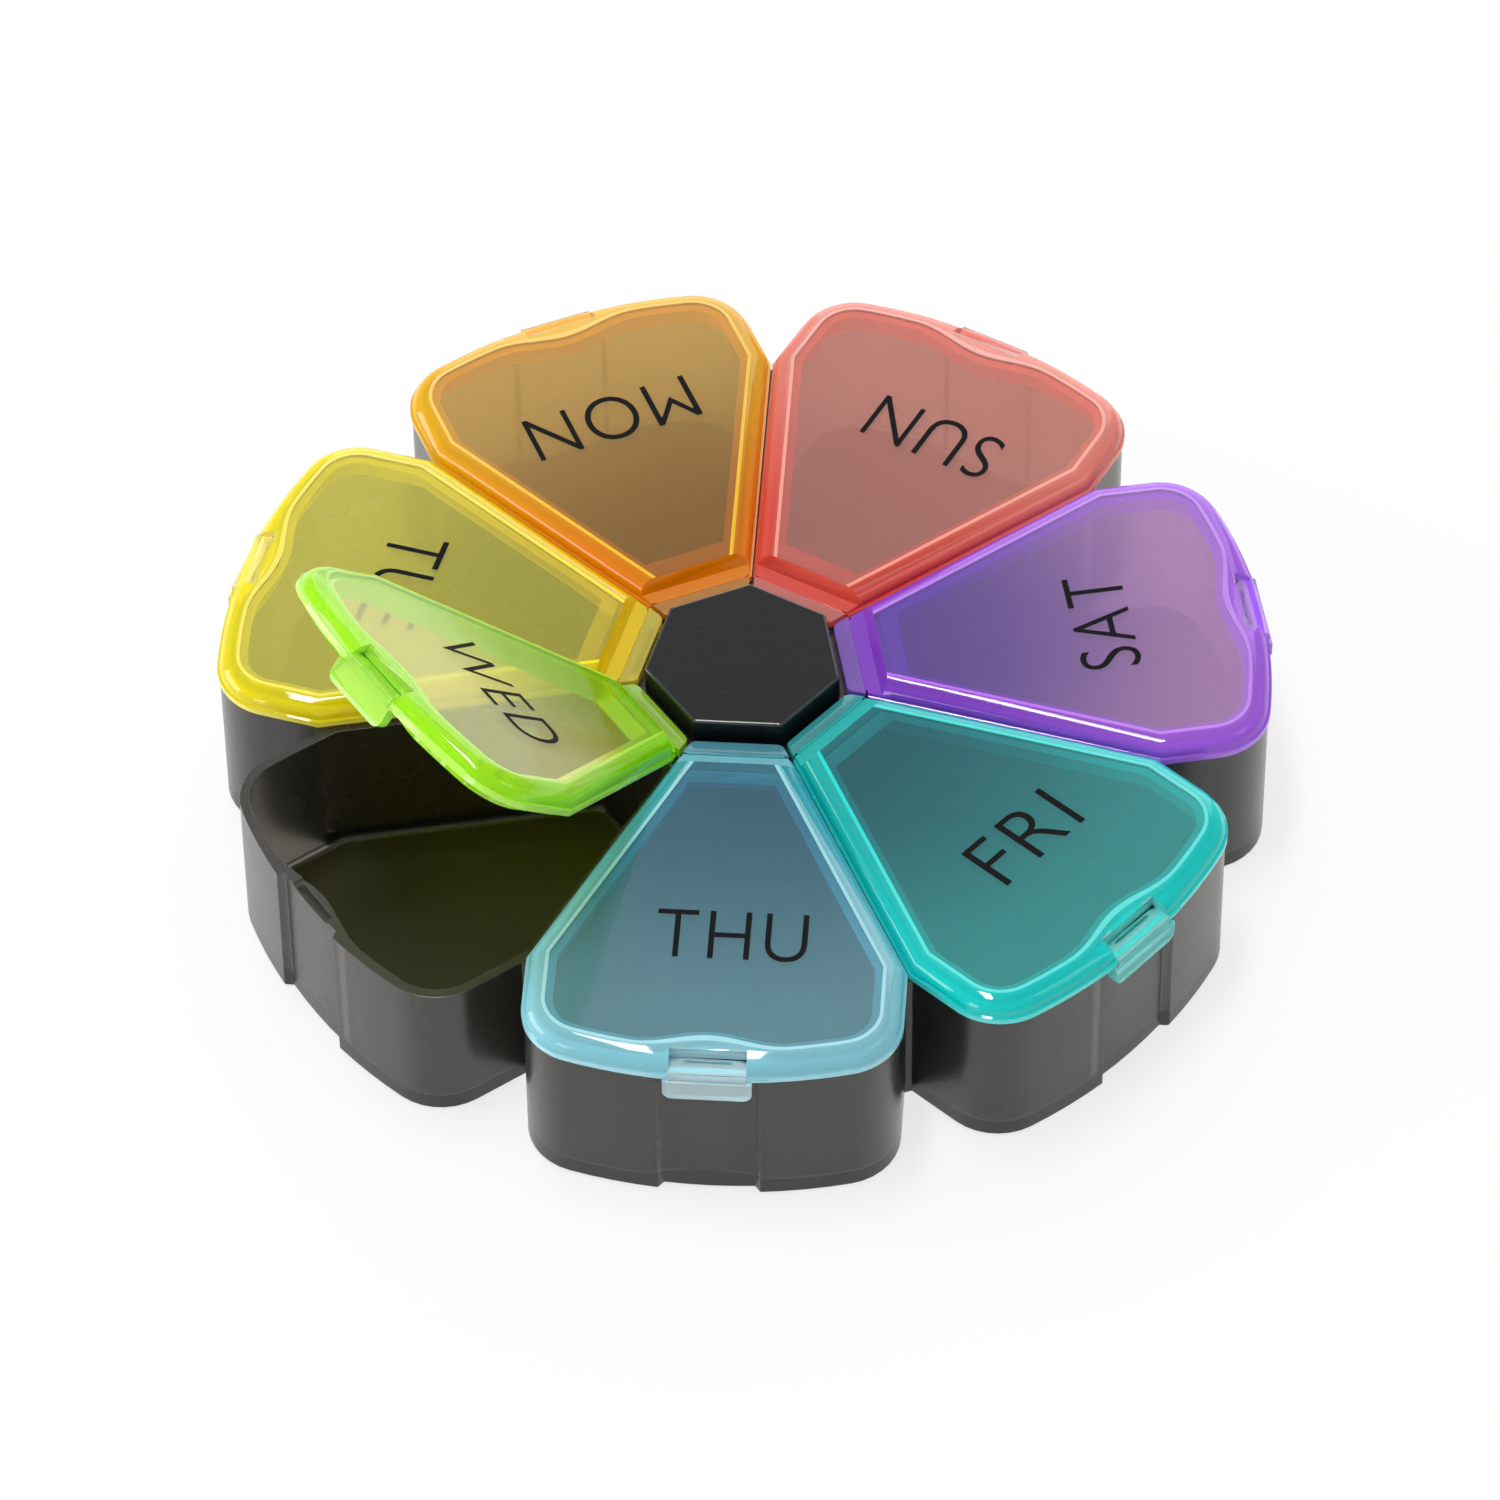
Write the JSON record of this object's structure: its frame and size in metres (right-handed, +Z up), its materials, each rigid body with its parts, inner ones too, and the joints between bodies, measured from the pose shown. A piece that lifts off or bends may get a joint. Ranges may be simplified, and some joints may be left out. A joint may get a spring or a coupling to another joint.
{
  "type": "weekly pill organizer",
  "caption": "Flower-shaped weekly pill box: black tray of petal compartments round a raised hub, with translucent coloured hinged lids, one standing open.",
  "frame": {"origin": "hub axis at the underside of the tray", "axes": "+Z up along the hub axis, -Y through the middle of the Thursday petal; the days follow counter-clockwise seen from above, and the open Wednesday lid is the petal clockwise of Thursday"},
  "size_m": [0.149, 0.1484, 0.0642],
  "materials": {
    "tray_black": "satin moulded polypropylene",
    "hub_black": "fine grained top, smooth sides",
    "light_blue": "translucent, smooth",
    "turquoise": "translucent, smooth",
    "purple": "translucent, smooth",
    "coral_red": "translucent, smooth",
    "orange": "translucent, smooth",
    "yellow": "translucent, smooth",
    "lime_green": "translucent, smooth"
  },
  "bodies": {
    "base": {"tray": "tray_black", "hub_cap": "hub_black", "hinge_strip_thursday": "light_blue", "hinge_strip_friday": "turquoise", "hinge_strip_saturday": "purple", "hinge_strip_sunday": "coral_red", "hinge_strip_monday": "orange", "hinge_strip_tuesday": "yellow", "hinge_strip_wednesday": "lime_green"},
    "thursday_lid": {"lid_thursday": "light_blue"},
    "friday_lid": {"lid_friday": "turquoise"},
    "saturday_lid": {"lid_saturday": "purple"},
    "sunday_lid": {"lid_sunday": "coral_red"},
    "monday_lid": {"lid_monday": "orange"},
    "tuesday_lid": {"lid_tuesday": "yellow"},
    "wednesday_lid": {"lid_wednesday": "lime_green"}
  },
  "joints": [
    {"name": "thursday_hinge", "type": "hinge", "parent": "base", "child": "thursday_lid", "pos_m": [0, -0.0164, 0.0261], "axis": [1, 0, 0], "range_deg": [-20, 0]},
    {"name": "friday_hinge", "type": "hinge", "parent": "base", "child": "friday_lid", "pos_m": [0.01282, -0.01023, 0.0261], "axis": [-0.6235, -0.7818, 0], "range_deg": [0, 80]},
    {"name": "saturday_hinge", "type": "hinge", "parent": "base", "child": "saturday_lid", "pos_m": [0.01599, 0.00365, 0.0261], "axis": [-0.2225, 0.9749, 0], "range_deg": [-80, 0]},
    {"name": "sunday_hinge", "type": "hinge", "parent": "base", "child": "sunday_lid", "pos_m": [0.00712, 0.01478, 0.0261], "axis": [0.901, -0.4339, 0], "range_deg": [0, 80]},
    {"name": "monday_hinge", "type": "hinge", "parent": "base", "child": "monday_lid", "pos_m": [-0.00712, 0.01478, 0.0261], "axis": [-0.901, -0.4339, 0], "range_deg": [-80, 0]},
    {"name": "tuesday_hinge", "type": "hinge", "parent": "base", "child": "tuesday_lid", "pos_m": [-0.01599, 0.00365, 0.0261], "axis": [-0.2225, -0.9749, 0], "range_deg": [-20, 0]},
    {"name": "wednesday_hinge", "type": "hinge", "parent": "base", "child": "wednesday_lid", "pos_m": [-0.01282, -0.01023, 0.0261], "axis": [-0.6235, 0.7818, 0], "range_deg": [-40, 40]}
  ]
}
